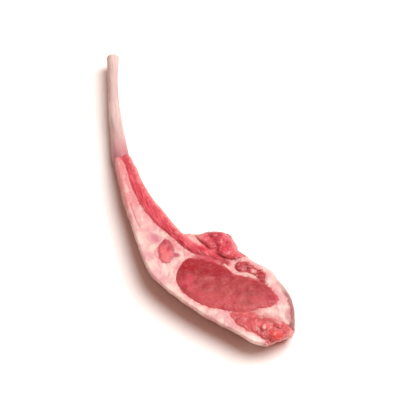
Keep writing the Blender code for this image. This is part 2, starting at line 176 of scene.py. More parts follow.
# The oblique cut: how far the chop is shifted in the plan for each millimetre below the level of its top. It
# isn't shifted where it holds the rib, before LEAN_FROM, and in full past LEAN_FULL.
LEAN = (-0.45, 0.22)
LEAN_LEVEL = 15.0
LEAN_FROM = -48.0
LEAN_FULL = 0.0

# Fine relief: seams, grain, fat, strands, torn meat, membrane and crease.
SEAM_DEPTH = 0.24
SEAM_WIDTH = 0.45
SEAM_USUAL = 0.6  # the share of that depth that a seam has where its noise is 0
SEAM_MOST = 1.3  # and the most of it that it can have
GROWN_TOGETHER = 0.75  # how much of the seam is lost where two muscles touch
TOUCHING = (-1.0, 0.0)  # how far inside a second muscle a point lies, from apart to touching
MEAT_FADE = 0.9  # a muscle's fine relief sets in over this width along its edge
FAT_FADE = 1.0
GRAIN_HEIGHT = 0.07
FAT_LOBULES = 0.16
STRAND_HEIGHT = 0.22
STRAND_BEND = 0.006  # the fibres follow a parabola round STRAND_BEND_FROM
STRAND_BEND_FROM = -30.0
TORN_HEIGHT = 0.3
TORN_MIDDLE = 0.7  # taken off, so that torn meat goes down as well as up
TORN_WALL_HEIGHT = 0.42
TORN_WALL_SWELL = 0.1
TORN_WALL_FROM = (-1.6, -0.4)  # how far inside torn meat an edge lies, where its wall goes from plain to torn
FOLD_SWIRL = 0.35  # how far the folds are shifted, as a share of their lumps' size
RAGGED = {"knob_meat": 0.5, "back_meat": 0.35, "end_muscle": 0.9}  # how ragged each torn muscle is
END_CUT_TO = (46.0, 54.0)  # the end piece was cut smooth up to here, and is fully torn past there
END_CUT_SMOOTH = 0.85  # how much of its raggedness the cut took away
TIP_MIDDLE = 3.0  # the torn end swells from a point this far inside its last ring
TIP_FROM = (0.1, 2.0)  # heights above the table between which that sets in
LINE_STEPS = 8
MEMBRANE = (
    (13.1, 8.2), (16.4, 9.2), (19.4, 9.8), (20.7, 13.2), (21.4, 16.0), (24.6, 17.6), (25.0, 18.6),
    (23.0, 19.8),
)
MEMBRANE_HEIGHT = 0.5
MEMBRANE_USUAL = 0.8
MEMBRANE_WIDTH = 0.75
CREASE = ((-36.2, -19.6), (-31.6, -20.2), (-26.1, -20.7), (-21.5, -20.8))
CREASE_DEPTH = 0.45
CREASE_WIDTH = 0.5

# Layers of noise: each is its share, its size or its three sizes, and its seed.
EDGE_LAYERS = ((1.0, 2.6, 3.0), (0.5, 1.1, 8.0))
WALL_LAYERS = ((0.5, 5.5, 0.0), (0.14, 1.8, 91.0))
TORN_WALL_LAYERS = ((1.1, 5.5, 0.0),)
TORN_FOLDS = ((1.0, 3.0, 11.0), (0.55, 1.5, 21.0))
TORN_CRUMBS = ((0.25, 0.7, 31.0),)
STRAND_LAYERS = ((1.0, (9.0, 0.85, 2.0), 41.0), (0.6, (4.5, 0.425, 1.0), 43.0))
SEAM_LAYERS = ((0.7, 2.0, 51.0),)
GRAIN_LAYERS = ((1.0, 1.3, 61.0), (0.7, 0.6, 63.0))
LOBULE_LAYERS = ((1.0, 2.4, 71.0), (0.5, 1.1, 73.0))
MEMBRANE_LAYERS = ((0.6, 1.4, 81.0),)
BONE_LAYERS = ((0.16, (14.0, 3.0, 3.0), 101.0), (0.06, (5.0, 1.1, 1.1), 103.0))
SEED_STEP = (1.0, 1.7, 2.3)  # which way a seed moves the noise

# Places along the rib: x, y and height of its middle, then its width and height.
RIB = (
    (-118.4, 5.2, 7.4, 5.8, 8.2), (-114.4, 3.6, 7.4, 5.3, 8.1), (-107.9, 1.0, 7.3, 4.6, 8.0),
    (-94.5, -3.9, 7.0, 5.2, 8.4), (-87.6, -6.1, 6.9, 5.8, 8.6), (-80.6, -8.0, 6.8, 6.3, 8.9),
    (-73.6, -10.0, 6.6, 7.2, 9.2), (-67.2, -11.7, 6.4, 7.9, 9.5), (-64.3, -12.2, 6.3, 7.4, 9.3),
    (-62.3, -12.5, 6.3, 5.6, 8.4), (-58.0, -12.8, 6.3, 4.5, 7.2), (-51.1, -13.4, 6.3, 3.9, 6.4),
)
RIB_STEPS = 18
RIB_SIDES = 64
RIB_SQUARENESS = 2.4  # 2 is an ellipse, and more is squarer
RIB_ROUND = ((0.985, 0.1), (0.95, 0.26), (0.9, 0.36), (0.84, 0.38), (0.72, 0.3), (0.5, 0.1), (0.25, 0.0))
SEAT_GAP = 0.02  # between the rib and the meat round it
CUTTER_FLOOR = -10.0
CUTTER_CEILING = 30.0

# ---- curves and distances in the plan


def through(points, steps, closed=False):
    """Points of the smooth curve through the given ones, with this many steps from each to the next."""
    given = np.asarray(points, float)
    count = len(given)
    found = []
    for i in range(count if closed else count - 1):
        places = [(i + k) % count if closed else min(max(i + k, 0), count - 1) for k in (-1, 0, 1, 2)]
        a, b, c, d = given[places]
        for t in np.arange(steps) / steps:
            cubic = (3 * b - a - 3 * c + d) * t**3
            found.append(0.5 * (2 * b + (c - a) * t + (2 * a - 5 * b + 4 * c - d) * t * t + cubic))
    if not closed:
        found.append(given[-1])
    return np.array(found)


def ellipse(centre, half, turn, count):
    """Points of an ellipse, turned by this angle."""
    angles = np.linspace(0, 2 * math.pi, count, endpoint=False)
    along, across = half[0] * np.cos(angles), half[1] * np.sin(angles)
    x = centre[0] + along * math.cos(turn) - across * math.sin(turn)
    y = centre[1] + along * math.sin(turn) + across * math.cos(turn)
    return np.stack([x, y], axis=1)


def anticlockwise(outline):
    """The outline, turned round if it runs clockwise."""
    following = np.roll(outline, -1, axis=0)
    area = np.sum(outline[:, 0] * following[:, 1] - outline[:, 1] * following[:, 0])
    return outline if area > 0 else outline[::-1]


def in_plan(points):
    """The points with a height of 0."""
    return np.column_stack([points, np.zeros(len(points))])


def lumps(points, size, seed=0.0):
    """Smooth noise between about -1 and 1 at each point, with lumps of this size or these three."""
    places = points / size + seed * np.array(SEED_STEP)
    return np.array([noise.noise(Vector(place)) for place in places.tolist()])


def layered(points, layers, form=lumps):
    """Layers of noise together, each with its share, its size and its seed."""
    return sum(share * form(points, size, seed) for share, size, seed in layers)


def wobbled(outline, reach):
    """The outline with an uneven edge, as a knife and the grain leave it."""
    ahead = np.roll(outline, -1, axis=0) - np.roll(outline, 1, axis=0)
    normal = np.stack([ahead[:, 1], -ahead[:, 0]], axis=1)
    normal /= np.linalg.norm(normal, axis=1)[:, None]
    return outline + normal * (reach * layered(in_plan(outline), EDGE_LAYERS))[:, None]


def smooth_outline(name):
    """The muscle's outline as a smooth closed curve."""
    if name in DRAWN_OUTLINES:
        return anticlockwise(through(DRAWN_OUTLINES[name], OUTLINE_STEPS, closed=True))
    return ellipse(SMALL_MEAT_CENTRE, SMALL_MEAT_HALF, SMALL_MEAT_TURN, SMALL_MEAT_POINTS)


OUTLINES = {name: wobbled(smooth_outline(name), EDGE_WOBBLE.get(name, TORN_EDGE_WOBBLE)) for name in PIECES}
EDGES = through([(*near, *far) for near, far in EDGE_PAIRS], SECTIONS_PER_PAIR)
NEAR_EDGE = EDGES[:, :2]
FAR_EDGE = EDGES[:, 2:]


def to_line(line, points):
    """The distance in the plan from each point to a line, up to REACH."""
    best = np.full(len(points), REACH**2)
    for start, end in zip(line[:-1], line[1:]):
        low, high = np.minimum(start, end) - REACH, np.maximum(start, end) + REACH
        near = np.flatnonzero(np.all((points > low) & (points < high), axis=1))
        side = end - start
        to_point = points[near] - start
        share = np.clip(to_point @ side / (side @ side), 0, 1)
        away = to_point - share[:, None] * side
        best[near] = np.minimum(best[near], np.sum(away * away, axis=1))
    return np.sqrt(best)


def inside(outline, points):
    """Whether each point lies inside the outline in the plan."""
    found = np.zeros(len(points), bool)
    x, y = points[:, 0], points[:, 1]
    for (ax, ay), (bx, by) in zip(outline, np.roll(outline, -1, axis=0)):
        if ay != by:
            found ^= ((ay > y) != (by > y)) & (x < ax + (y - ay) * (bx - ax) / (by - ay))
    return found


def depth_inside(name, points):
    """How far each point lies inside this muscle's own outline, or below zero outside it."""
    outline = OUTLINES[name]
    distance = to_line(np.vstack([outline, outline[:1]]), points)
    return np.where(inside(outline, points), distance, -distance)


def depths_in(points):
    """For each muscle, how far each point lies inside it."""
    own = {name: depth_inside(name, points) for name in PIECES}
    found = {}
    for name in PIECES:
        from_others = [-own[other] for other in ENDS_AT.get(name, ())]
        found[name] = np.min([own[name], *from_others], axis=0)
    return found


def between(value, low, high):
    """0 below low, 1 above high and smooth in between."""
    share = np.clip((value - low) / (high - low), 0, 1)
    return share * share * (3 - 2 * share)


# ---- relief of the cut face


def lobe_height(name, x, y):
    """Height of the highest lobe of this muscle over each point."""
    height = np.zeros(len(x))
    for middle_x, middle_y, radius, top in LOBES.get(name, ()):
        near = 1 - ((x - middle_x) ** 2 + (y - middle_y) ** 2) / radius**2
        height = np.maximum(height, top * np.maximum(near, 0) ** LOBE_STEEPNESS)
    return height


def creases(points, size, seed):
    """Sharp folds between round lumps, from 0 in a fold to 1 on a lump, as the noise seldom passes a half."""
    swirl = np.stack([lumps(points, size, seed + step) for step in (1.0, 2.0, 3.0)], axis=1)
    return np.abs(lumps(points + FOLD_SWIRL * size * swirl, size, seed)) * 2.0


def torn_relief(points):
    """Shreds and crumbs of torn meat."""
    return layered(points, TORN_FOLDS, creases) + layered(points, TORN_CRUMBS) - TORN_MIDDLE


def raggedness(name, points):
    """How ragged a torn muscle is at each point."""
    cut_smooth = END_CUT_SMOOTH * (1 - between(points[:, 0], *END_CUT_TO)) if name == "end_muscle" else 0.0
    return RAGGED[name] * (1 - cut_smooth)


def strands(points):
    """Fibres along the rib."""
    bend = points.copy()
    bend[:, 1] -= STRAND_BEND * (points[:, 0] - STRAND_BEND_FROM) ** 2
    return layered(bend, STRAND_LAYERS)


def ridge(line, width, points):
    """1 on a line in the plan, and falling smoothly to 0 away from it."""
    return np.exp(-((to_line(through(line, LINE_STEPS), points) / width) ** 2))


def membrane(points):
    """1 on the crumpled membrane between the eye and the nuggets, and 0 away from it."""
    return ridge(MEMBRANE, MEMBRANE_WIDTH, points)


def muscle_relief(name, points):
    """Height of the grain, fibres or shreds of this muscle."""
    if name in RAGGED:
        return TORN_HEIGHT * (raggedness(name, points) * torn_relief(points))
    if name == "rib_strip":
        return STRAND_HEIGHT * strands(points)
    return GRAIN_HEIGHT * layered(points, GRAIN_LAYERS)


def fine_relief(points, depths):
    """Height of the small forms over each point of the plan."""
    flat = in_plan(points)
    second, nearest = np.sort(list(depths.values()), axis=0)[-2:]
    height = np.zeros(len(points))
    uneven = np.clip(SEAM_USUAL + layered(flat, SEAM_LAYERS), 0, SEAM_MOST)
    uneven *= 1 - GROWN_TOGETHER * between(second, *TOUCHING)
    height -= SEAM_DEPTH * uneven * np.exp(-((nearest / SEAM_WIDTH) ** 2))
    for name, depth in depths.items():
        here = depth > 0
        rise = np.zeros(len(points))
        rise[here] = muscle_relief(name, flat[here])
        height += between(depth, 0.0, MEAT_FADE) * rise
    height += between(-nearest, 0.0, FAT_FADE) * FAT_LOBULES * layered(flat, LOBULE_LAYERS)
    height += MEMBRANE_HEIGHT * membrane(points) * (MEMBRANE_USUAL + layered(flat, MEMBRANE_LAYERS))
    return height - CREASE_DEPTH * ridge(CREASE, CREASE_WIDTH, points)


def swell_relief(points, depths):
    """Height of the larger forms over each point of the plan."""
    flat = in_plan(points)
    height = FAT_BUMPS * lumps(flat, FAT_BUMP_SIZE)
    small = lumps(flat, BUMP_SIZE)
    for name, depth in depths.items():
        swell, bump = SWELL[name]
        rise = np.sin(0.5 * math.pi * np.clip(depth / SWELL_WIDTH, 0, 1))
        here = swell * rise + bump * small + lobe_height(name, points[:, 0], points[:, 1])
        height = np.where(depth > 0, here, height)
    return height


def fall(distance, radius):
    """How far a quarter-round edge has fallen at this distance from the edge."""
    reach = np.maximum(radius - distance, 0.0)
    return radius - np.sqrt(radius * radius - reach * reach)


# ---- meshes


def outward_normals(line, left):
    """The unit normals in the plan along a line of points, to its left or to its right."""
    ahead = np.gradient(line, axis=0)
    normals = np.stack([-ahead[:, 1], ahead[:, 0]], axis=1) * (1 if left else -1)
    return normals / np.linalg.norm(normals, axis=1)[:, None]


def wall_relief(points):
    """How far a side wall stands out at each point. Torn meat is rougher than the rest."""
    plan = points[:, :2]
    torn = np.max([depth_inside(name, plan) for name in ("knob_meat", "end_muscle")], axis=0)
    rough = between(torn, *TORN_WALL_FROM)
    plain = layered(points, WALL_LAYERS)
    ragged = layered(points, TORN_WALL_LAYERS) + TORN_WALL_HEIGHT * (torn_relief(points) + TORN_WALL_SWELL)
    return plain + rough * (ragged - plain)


def wall(edge, out, heights, stand_out):
    """Rows of points on a side wall over an edge in the plan, with one height and one stand-out for each."""
    rows = []
    for z, offset in zip(heights, stand_out):
        points = np.column_stack([edge, z])
        reach = offset + wall_relief(points)
        rows.append(np.column_stack([edge + out * reach[:, None], z]))
    return rows


def top_rows(across, thickness):
    """Rows of points over the cut face, from the near edge to the far edge."""
    even = np.linspace(0, 1, TOP_POINTS)
    shares = even + TOP_CROWDING * (0.5 - 0.5 * np.cos(math.pi * even) - even)
    plan = np.concatenate([NEAR_EDGE + across * share for share in shares])
    depths = depths_in(plan)
    rise = swell_relief(plan, depths) + fine_relief(plan, depths)
    rise -= fall(to_line(NEAR_EDGE, plan), NEAR_TOP_ROUND) + fall(to_line(FAR_EDGE, plan), FAR_TOP_ROUND)
    top_z = np.tile(thickness, TOP_POINTS) + rise
    return np.split(np.column_stack([plan, top_z]), TOP_POINTS)


def far_rows(out, top, inward):
    """Rows of points down the far wall and round its foot."""
    shares = np.linspace(1, 0, FAR_POINTS + 1)[1:]
    heights = [FAR_FOOT_ROUND + share * (top - FAR_FOOT_ROUND) for share in shares]
    stand_out = [FAR_BULGE * math.sin(math.pi * share) for share in shares]
    rows = wall(FAR_EDGE, out, heights, stand_out)
    foot = rows[-1][:, :2]
    for angle in np.linspace(0, 0.5 * math.pi, FOOT_POINTS + 1)[1:-1]:
        reach = FAR_FOOT_ROUND * (1 - math.cos(angle))
        height = FAR_FOOT_ROUND * (1 - math.sin(angle))
        rows.append(np.column_stack([foot + inward * reach, np.full(len(foot), height)]))
    return rows


def near_rows(out, top, rim, undercut):
    """Rows of points up the near wall, which falls in below its rim."""
    falls_in = through(NEAR_WALL, NEAR_WALL_STEPS)[1:]
    heights = [share * rim for share, _ in falls_in]
    stand_out = [-undercut * share for _, share in falls_in]
    rows = wall(NEAR_EDGE, out, heights, stand_out)
    shares = np.linspace(0, 1, ABOVE_RIM_POINTS + 1)[1:-1]
    heights = [rim + (top - rim) * share for share in shares]
    return rows + wall(NEAR_EDGE, out, heights, [0.0] * len(shares))


def slab_rings():
    """The rings of points round the slab of meat and fat, from the rib end to the loin end."""
    middle_x = 0.5 * (NEAR_EDGE[:, 0] + FAR_EDGE[:, 0])
    thickness = np.interp(middle_x, *zip(*THICKNESS_AT))
    near_out = outward_normals(NEAR_EDGE, left=False)
    far_out = outward_normals(FAR_EDGE, left=True)
    across = FAR_EDGE - NEAR_EDGE
    width = np.linalg.norm(across, axis=1)
    inward = -across / width[:, None] - far_out
    inward /= np.linalg.norm(inward, axis=1)[:, None]
    rim = RIM_SHARE * thickness
    undercut = np.minimum(UNDERCUT_SLOPE * rim, UNDERCUT_MOST * width)

    top = top_rows(across, thickness)
    far = far_rows(far_out, top[-1][:, 2], inward)
    foot_far = FAR_EDGE + inward * FAR_FOOT_ROUND
    foot_near = NEAR_EDGE - near_out * undercut[:, None]
    under = [in_plan(foot_far + (foot_near - foot_far) * share) for share in np.linspace(0, 1, UNDER_POINTS)]
    near = near_rows(near_out, top[0][:, 2], rim, undercut)
    rows = [*top, *far, *under, *near]
    return np.stack(rows[::-1], axis=1)


def rounded_ends(rings, first_rounds, last_rounds):
    """The rings with smaller ones added at both ends, so that the loft's ends are rounded."""

    def smaller(ring, neighbour, rounds):
        centre = ring.mean(axis=0)
        out = (centre - neighbour.mean(axis=0)) * (1, 1, 0)
        out /= np.linalg.norm(out)
        return [centre + (ring - centre) * keep + out * push for keep, push in rounds]

    first = smaller(rings[0], rings[1], first_rounds)
    last = smaller(rings[-1], rings[-2], last_rounds)
    return [*first[::-1], *rings, *last]


def loft(name, rings):
    """A closed mesh through rings of equal length, with a fan over each end."""
    size, count = len(rings[0]), len(rings)
    points = np.concatenate([*rings, [rings[0].mean(axis=0)], [rings[-1].mean(axis=0)]])
    i = np.arange(size)
    j = (i + 1) % size
    starts = np.repeat(np.arange(count - 1) * size, size)
    i_all, j_all = np.tile(i, count - 1), np.tile(j, count - 1)
    lower = np.stack([starts + i_all, starts + j_all, starts + size + j_all], axis=1)
    upper = np.stack([starts + i_all, starts + size + j_all, starts + size + i_all], axis=1)
    last = size * (count - 1)
    first_cap = np.stack([j, i, np.full(size, last + size)], axis=1)
    last_cap = np.stack([last + i, last + j, np.full(size, last + size + 1)], axis=1)
    faces = np.concatenate([lower, upper, first_cap, last_cap])
    mesh = bpy.data.meshes.new(name)
    mesh.from_pydata((points * MM).tolist(), [], faces.tolist())
    mesh.validate()
    mesh.shade_smooth()
    return mesh


def ragged_end(rings, count):
    """The rings, with the torn relief of the loin end on this many of the last."""
    middle = rings[-1].mean(axis=0)
    for ring in rings[-count:]:
        away = ring - middle
        away[:, 0] += TIP_MIDDLE
        away /= np.linalg.norm(away, axis=1)[:, None]
        reach = TORN_HEIGHT * torn_relief(ring) * between(ring[:, 2], *TIP_FROM)
        ring += away * reach[:, None]
    return rings


def slab_mesh():
    """The whole slab of meat and fat, without its seams."""
    rings = rounded_ends(slab_rings(), RIB_END, MEAT_END)
    return loft("slab", ragged_end(rings, len(MEAT_END)))


def rib_rings(grow=0.0):
    """The rings of points round the bare rib, or round its seat if it is grown."""
    stations = through(RIB, RIB_STEPS)
    angles = np.linspace(0, 2 * math.pi, RIB_SIDES, endpoint=False)
    c, s = np.cos(angles), np.sin(angles)
    across = np.sign(c) * np.abs(c) ** (2 / RIB_SQUARENESS)
    upward = np.sign(s) * np.abs(s) ** (2 / RIB_SQUARENESS)
    rings = []
    for i, (x, y, z, width, height) in enumerate(stations):
        ahead = stations[min(i + 1, len(stations) - 1)] - stations[max(i - 1, 0)]
        side = np.array([-ahead[1], ahead[0]]) / math.hypot(ahead[0], ahead[1])
        a, b = across * (width / 2 + grow), upward * (height / 2 + grow)
        ring = np.column_stack([x + side[0] * a, y + side[1] * a, z + b])
        away = np.column_stack([side[0] * c, side[1] * c, s])
        rings.append(ring + away * layered(ring, BONE_LAYERS)[:, None])
    rounds = [(keep, push + grow) for keep, push in RIB_ROUND]
    return rounded_ends(rings, rounds, rounds)


def prism_mesh(name, outline):
    """An upright cutter with this outline that passes right through the slab."""
    work = bmesh.new()
    floor = [work.verts.new((x * MM, y * MM, CUTTER_FLOOR * MM)) for x, y in outline]
    ceiling = [work.verts.new((x * MM, y * MM, CUTTER_CEILING * MM)) for x, y in outline]
    work.faces.new(floor[::-1])
    work.faces.new(ceiling)
    for i in range(len(outline)):
        j = (i + 1) % len(outline)
        work.faces.new((floor[i], floor[j], ceiling[j], ceiling[i]))
    bmesh.ops.triangulate(work, faces=work.faces)
    mesh = bpy.data.meshes.new(name)
    work.to_mesh(mesh)
    work.free()
    return mesh


def add_object(name, data):
    """A new object for a mesh, the camera or the light."""
    made = bpy.data.objects.new(name, data)
    bpy.context.scene.collection.objects.link(made)
    return made


def cut(name, mesh, steps):
    """A new mesh: this one after Booleans, each an operation and a cutter object."""
    drawn = add_object(name, mesh)
    for operation, cutter in steps:
        modifier = drawn.modifiers.new(operation, "BOOLEAN")
        modifier.operation = operation
        modifier.solver = "MANIFOLD"
        modifier.object = cutter
    bpy.context.view_layer.update()
    found = bpy.data.meshes.new_from_object(drawn.evaluated_get(bpy.context.evaluated_depsgraph_get()))
    bpy.data.objects.remove(drawn)
    return found


# ---- from the plan to the frame


def plan_shift():
    """How far the frame's chop stands from the plan's, from the middle of the rib in both."""
    low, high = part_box("rib_bone")
    points = np.concatenate(rib_rings())
    middle = 0.5 * (points.min(axis=0) + points.max(axis=0))
    return Vector(((low.x + high.x) / 2 - middle[0] * MM, (low.y + high.y) / 2 - middle[1] * MM, 0))


def places_of(mesh):
    """The places of the mesh's points, in millimetres."""
    co = np.empty(len(mesh.vertices) * 3, np.float32)
    mesh.vertices.foreach_get("co", co)
    return co.reshape(-1, 3).astype(float) / MM


def leaned(mesh):
    """The mesh, shifted as the oblique cut asks. The places written on it stay those of the upright form."""
    x, y, z = places_of(mesh).T
    reach = (LEAN_LEVEL - z) * between(x, LEAN_FROM, LEAN_FULL)
    moved = np.column_stack([x + LEAN[0] * reach, y + LEAN[1] * reach, z]) * MM
    mesh.vertices.foreach_set("co", moved.astype(np.float32).ravel())
    return mesh


def mark(mesh, name=None):
    """Writes what the materials read at each point.

    They are its place, its depth in its piece, its relief, how far it is on the membrane, its distance from
    the far edge, and for the fat how narrow it is there between two muscles.
    """
    places = places_of(mesh)
    plan = places[:, :2]
    depths = depths_in(plan)
    second, nearest = np.sort(list(depths.values()), axis=0)[-2:]
    values = {
        "depth": depths[name] if name else -nearest,
        "lift": fine_relief(plan, depths),
        "membrane": membrane(plan),
        "to_far": to_line(FAR_EDGE, plan),
        "span": -nearest - second,
    }
    for key, value in values.items():
        mesh.attributes.new(key, "FLOAT", "POINT").data.foreach_set("value", value.astype(np.float32))
    place = mesh.attributes.new("place", "FLOAT_VECTOR", "POINT")
    place.data.foreach_set("vector", places.astype(np.float32).ravel())


# ---- materials


def colour(code):
    """A linear colour from the usual six-digit code."""
    shares = [int(code[i : i + 2], 16) / 255 for i in (0, 2, 4)]
    return (*[s / 12.92 if s <= 0.04045 else ((s + 0.055) / 1.055) ** 2.4 for s in shares], 1.0)


INWARD = (-0.93, 0.38, 0.0)  # in the plan, from the fat edge of the eye towards the strip
NEVER = 1e6  # a stretch so long that its direction no longer counts
NOISE_RANGE = (0.3, 0.7)  # where nearly all of a noise texture's values lie
MARK_CORE = 0.25  # a mark has its full strength up to this share of its size
SEE_IN_RADIUS = (1.0, 0.32, 0.22)  # red light goes furthest into meat
SEE_IN_SCALE = 2.2
COAT_ROUGHNESS = 0.2


class Finish:
    """One material, made of nodes that read places in millimetres."""

    def __init__(self, name):
        self.material = bpy.data.materials.new(name)
        self.material.use_nodes = True
        self.tree = self.material.node_tree
        self.shader = self.tree.nodes["Principled BSDF"].inputs
        self.place = self.read("place", "Vector")

    def node(self, kind, inputs, **settings):
        """A new node. Each input is a plain value, or an output of another node."""
        made = self.tree.nodes.new(kind)
        for key, value in settings.items():
            setattr(made, key, value)
        for key, value in inputs.items():
            self.feed(made.inputs[key], value)
        return made

    def feed(self, socket, value):
        """Sets an input, or links an output of another node to it."""
        if isinstance(value, bpy.types.NodeSocket):
            self.tree.links.new(value, socket)
        else:
            socket.default_value = value

    def read(self, name, output="Fac"):
        """What is written on the mesh under this name."""
        return self.node("ShaderNodeAttribute", {}, attribute_name=name).outputs[output]

    def math(self, operation, a, b):
        return self.node("ShaderNodeMath", {0: a, 1: b}, operation=operation).outputs[0]

    def vector(self, operation, inputs, output=0):
        return self.node("ShaderNodeVectorMath", inputs, operation=operation).outputs[output]

    def along(self, places, axis):
        return self.node("ShaderNodeSeparateXYZ", {0: places}).outputs[axis]

    def spread(self, value, low, high, to_low=0.0, to_high=1.0):
        """The value, eased from one range to the other."""
        settings = {"Value": value, "From Min": low, "From Max": high, "To Min": to_low, "To Max": to_high}
        return self.node("ShaderNodeMapRange", settings, interpolation_type="SMOOTHSTEP").outputs[0]

    def mix(self, share, a, b):
        """The first colour, with this share of the second."""
        a, b = (colour(c) if isinstance(c, str) else c for c in (a, b))
        return self.node("ShaderNodeMix", {0: share, 6: a, 7: b}, data_type="RGBA").outputs[2]

    def tinted(self, base, tint, value, start, full, strength=1.0):
        """The colour with a tint over it, which sets in as the value goes from start to full."""
        return self.mix(self.spread(value, start, full, 0.0, strength), base, tint)

    def stretched(self, stretch, turn, source):
        """Places turned in the plan by this angle, then with each length divided by its stretch."""
        inputs = {"Vector": source or self.place, "Angle": -turn}
        turned = self.node("ShaderNodeVectorRotate", inputs, rotation_type="Z_AXIS").outputs[0]
        return self.vector("MULTIPLY", {0: turned, 1: [1 / s for s in stretch]})

    def noise(self, size, detail, rough=0.5, stretch=(1, 1, 1), turn=0.0, twist=0.0, source=None):
        """Smooth noise with lumps of this size."""
        inputs = {"Vector": self.stretched(stretch, turn, source), "Scale": 1 / size, "Detail": detail,
                  "Roughness": rough, "Distortion": twist}
        return self.node("ShaderNodeTexNoise", inputs).outputs[0]

    def cells(self, size, stretch=(1, 1, 1), turn=0.0, source=None):
        """How far each place lies from the edge of its cell, in cells of this size."""
        inputs = {"Vector": self.stretched(stretch, turn, source), "Scale": 1 / size}
        return self.node("ShaderNodeTexVoronoi", inputs, feature="DISTANCE_TO_EDGE").outputs["Distance"]

    def warped(self, reach, size):
        """Places shifted by up to this reach in smooth swirls of this size."""
        inputs = {"Vector": self.place, "Scale": 1 / size, "Detail": 2.0}
        swirl = self.node("ShaderNodeTexNoise", inputs).outputs["Color"]
        centred = self.vector("SUBTRACT", {0: swirl, 1: (0.5, 0.5, 0.5)})
        shift = self.vector("SCALE", {0: centred, 3: 2 * reach})
        return self.vector("ADD", {0: self.place, 1: shift})

    def marks(self, base, marks, source):
        """The colour with soft oval marks painted over it.

        Each mark is x, y, half its length, half its width, its turn in degrees, its colour and its strength.
        """
        for x, y, length, width, turn, tint, strength in marks:
            away = self.vector("SUBTRACT", {0: source, 1: (x, y, 0)})
            shares = self.stretched((length, width, NEVER), math.radians(turn), away)
            reach = self.vector("LENGTH", {0: shares}, "Value")
            base = self.mix(self.spread(reach, MARK_CORE, 1.0, strength, 0.0), base, tint)
        return base

    def patchy(self, size, low, high):
        """A value that changes between these two in patches of this size."""
        return self.spread(self.noise(size, 3.0), *NOISE_RANGE, low, high)

    def uneven(self, name, reach, size=1.3):
        """A value written on the mesh, made uneven by up to this reach."""
        return self.math("ADD", self.read(name), self.patchy(size, -reach, reach))

    def surface(self, base, roughness, heights, coat, see_in=0.1, specular=0.25):
        """Sets the shader: heights are pairs of a height in millimetres and its strength."""
        values = {
            "Base Color": base, "Roughness": roughness, "Specular IOR Level": specular,
            "Subsurface Weight": see_in, "Subsurface Radius": SEE_IN_RADIUS,
            "Subsurface Scale": SEE_IN_SCALE * MM, "Coat Weight": coat, "Coat Roughness": COAT_ROUGHNESS,
        }
        bump = {"Distance": MM}
        for height, strength in heights:
            bump.update({"Height": height, "Strength": strength})
            bump["Normal"] = self.node("ShaderNodeBump", bump).outputs[0]
        values["Normal"] = bump["Normal"]
        for socket, value in values.items():
            self.feed(self.shader[socket], value)
        return self.material


def meat_ground(f, dark, middle, light, size):
    """The mottled colour of lean meat, and the swirled places it was made from."""
    places = f.warped(1.2, 5.0)
    broad = f.noise(size, 3.0, 0.55, source=places)
    base = f.mix(f.spread(broad, 0.48, 0.68), middle, light)
    base = f.tinted(base, dark, broad, 0.52, 0.32)
    return base, places


def eye_finish():
    """The round eye: crimson beside the strip, rose-brown in the middle, pink along the fat edge."""
    f = Finish("eye_meat")
    base, places = meat_ground(f, "9c383c", "a84044", "b24c4e", 4.0)
    inward = f.vector("DOT_PRODUCT", {0: places, 1: INWARD}, "Value")
    base = f.tinted(base, "9e2c34", inward, -18.0, -11.0)
    base = f.tinted(base, "bd4e54", inward, -21.0, -31.0)
    base = f.marks(base, (
        (12.4, -4.6, 4.6, 2.4, 66, "922428", 0.8), (8.4, -7.0, 4.4, 2.8, 66, "a01420", 0.9),
        (16.0, 2.6, 6.8, 3.2, 66, "980c1e", 1.0), (20.6, 8.4, 4.4, 2.2, 50, "982030", 0.7),
        (14.0, -9.6, 3.2, 3.2, 0, "c84454", 0.85), (17.4, -12.0, 6.0, 3.4, 30, "c64856", 0.9),
        (24.6, -8.8, 6.0, 3.0, 35, "bc444c", 0.75), (27.8, -1.0, 5.0, 3.0, 40, "b4484c", 0.6),
        (38.2, 22.0, 4.6, 3.6, 40, "aa3844", 0.8), (31.1, 18.4, 3.2, 3.2, 0, "983034", 0.7),
        (32.6, 12.6, 6.0, 3.2, 60, "964040", 0.6), (36.4, 9.6, 6.0, 3.0, 66, "a04e48", 0.7),
    ), f.warped(1.6, 6.0))
    patches = f.noise(3.2, 2.0, 0.55, source=places)
    base = f.tinted(base, "c65c5a", patches, 0.54, 0.72, 0.42)
    base = f.tinted(base, "8c1824", patches, 0.46, 0.3, 0.4)
    bundles = f.cells(1.6, stretch=(2.4, 1, 1), turn=0.66, source=places)
    base = f.tinted(base, "cf7270", bundles, 0.14, 0.01, 0.12)
    grain = f.noise(0.7, 3.0, 0.55, stretch=(3.0, 1, 1), turn=0.66, source=places)
    base = f.tinted(base, "8c1c28", grain, 0.5, 0.28, 0.12)
    base = f.tinted(base, "d07070", grain, 0.56, 0.75, 0.14)
    base = f.tinted(base, "cc5c64", f.uneven("depth", 0.4, 1.6), 0.9, 0.0, 0.6)
    heights = ((bundles, 0.1), (grain, 0.06))
    return f.surface(base, f.patchy(2.2, 0.36, 0.54), heights, coat=0.04, specular=0.18)


